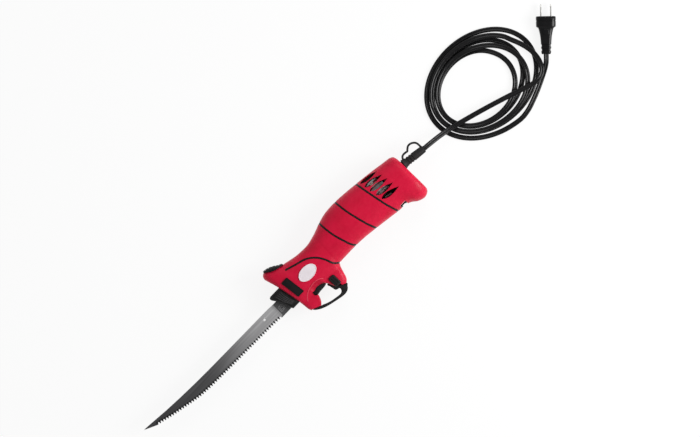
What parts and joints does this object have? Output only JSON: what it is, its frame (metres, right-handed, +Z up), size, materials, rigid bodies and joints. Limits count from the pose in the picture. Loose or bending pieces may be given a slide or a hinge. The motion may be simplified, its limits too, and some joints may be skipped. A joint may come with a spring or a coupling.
{
  "type": "electric fillet knife",
  "caption": "Corded electric fillet knife: two saw-toothed blades driven back and forth by a motor in a pistol-grip handle, with trigger, guard and coiled cord.",
  "frame": {"origin": "middle of the knife's own box, cord aside, on the surface that it lies on", "axes": "+X from the blade tip to the butt, +Y from the teeth towards the spine, +Z up out of the knife's left side"},
  "size_m": [0.7477, 0.1338, 0.046],
  "materials": {
    "housing": "red moulded plastic with a fine satin grain",
    "trim": "black inlay",
    "soft_grip": "ribbed soft black",
    "badge": "pale bare plate with a thin rim",
    "black_plastic": "satin black moulded plastic",
    "grey_plastic": "dark grey moulded plastic",
    "blade": "ground steel, brushed along its length",
    "steel": "plain bright steel",
    "prong": "nickel plated",
    "nylon": "natural nylon",
    "magnet": "sintered ferrite",
    "copper": "wound copper",
    "bronze": "sintered bronze",
    "circuit_board": "green laminate",
    "cord": "black moulded vinyl"
  },
  "bodies": {
    "handle": {"left_housing": "housing", "right_housing": "housing", "grip_band_front": "trim", "grip_band_middle": "trim", "grip_band_rear": "trim", "left_accent_line": "trim", "right_accent_line": "trim", "oval_badge": "badge", "side_label": "trim", "thumb_rest": "soft_grip", "trigger_guard": "black_plastic", "notch_liner": "black_plastic", "blade_collar": "black_plastic", "arm_guide": "nylon", "motor_can": "steel", "motor_front_plate": "steel", "motor_end_cap": "black_plastic", "upper_magnet": "magnet", "lower_magnet": "magnet", "shaft_bearing": "bronze", "gear_axle": "steel", "trigger_pin": "steel", "trigger_spring": "steel", "lock_spring": "steel", "power_switch": "grey_plastic", "rectifier_board": "circuit_board", "supply_lead": "cord", "motor_lead": "cord", "housing_screw_1": "steel", "housing_screw_2": "steel", "housing_screw_3": "steel", "housing_screw_4": "steel", "housing_screw_5": "steel", "housing_screw_6": "steel", "strain_relief": "cord", "cord_lead": "cord", "cord_coil": "cord", "cord_tail": "cord", "plug_body": "cord", "wide_prong": "prong", "narrow_prong": "prong"},
    "left_blade": {"left_blade": "blade", "blade_rivet": "steel", "left_blade_shoulder": "grey_plastic", "left_drive_arm": "nylon"},
    "right_blade": {"right_blade": "blade", "right_blade_shoulder": "grey_plastic", "right_drive_arm": "nylon"},
    "armature": {"rotor_core": "copper", "commutator": "copper", "motor_shaft": "steel", "cooling_fan": "nylon", "worm": "steel"},
    "gear": {"worm_gear": "nylon"},
    "trigger": {"trigger": "black_plastic"},
    "switch_plunger": {"switch_plunger": "nylon"},
    "lock_button": {"lock_button": "black_plastic"},
    "left_release_button": {"left_release_button": "black_plastic"},
    "right_release_button": {"right_release_button": "black_plastic"}
  },
  "joints": [
    {"name": "left_blade_slide", "type": "slide", "parent": "handle", "child": "left_blade", "axis": [1, 0, 0], "range_m": [-0.0035, 0.0035]},
    {"name": "right_blade_slide", "type": "slide", "parent": "handle", "child": "right_blade", "axis": [1, 0, 0], "range_m": [-0.0035, 0.0035]},
    {"name": "armature_spin", "type": "hinge", "parent": "handle", "child": "armature", "pos_m": [0.11975, 0.01655, 0.023], "axis": [1, 0, 0], "continuous": true},
    {"name": "gear_spin", "type": "hinge", "parent": "handle", "child": "gear", "pos_m": [0.11975, 0.0029, 0.023], "axis": [0, 0, 1], "continuous": true},
    {"name": "trigger_pull", "type": "hinge", "parent": "handle", "child": "trigger", "pos_m": [0.03625, -0.01195, 0.023], "axis": [0, 0, 1], "range_deg": [0, 7], "stiffness_Nm_per_rad": 0.6, "springref_deg": -5.73, "deforming": ["trigger_spring"]},
    {"name": "plunger_slide", "type": "slide", "parent": "handle", "child": "switch_plunger", "axis": [0, 1, 0], "range_m": [0, 0.0023]},
    {"name": "lock_button_press", "type": "slide", "parent": "handle", "child": "lock_button", "axis": [0, 0, -1], "range_m": [0, 0.003], "stiffness_N_per_m": 700, "springref_m": -0.002, "deforming": ["lock_spring"]},
    {"name": "left_release_press", "type": "slide", "parent": "handle", "child": "left_release_button", "axis": [0, 0, -1], "range_m": [0, 0.002], "stiffness_N_per_m": 1200, "springref_m": -0.002},
    {"name": "right_release_press", "type": "slide", "parent": "handle", "child": "right_release_button", "axis": [0, 0, 1], "range_m": [0, 0.002], "stiffness_N_per_m": 1200, "springref_m": -0.002}
  ],
  "couplings": [
    {"joint": "right_blade_slide", "follows": "left_blade_slide", "ratio": -1},
    {"joint": "gear_spin", "follows": "armature_spin", "ratio": 0.055556},
    {"joint": "plunger_slide", "follows": "trigger_pull", "m_per_rad": 0.0185}
  ]
}
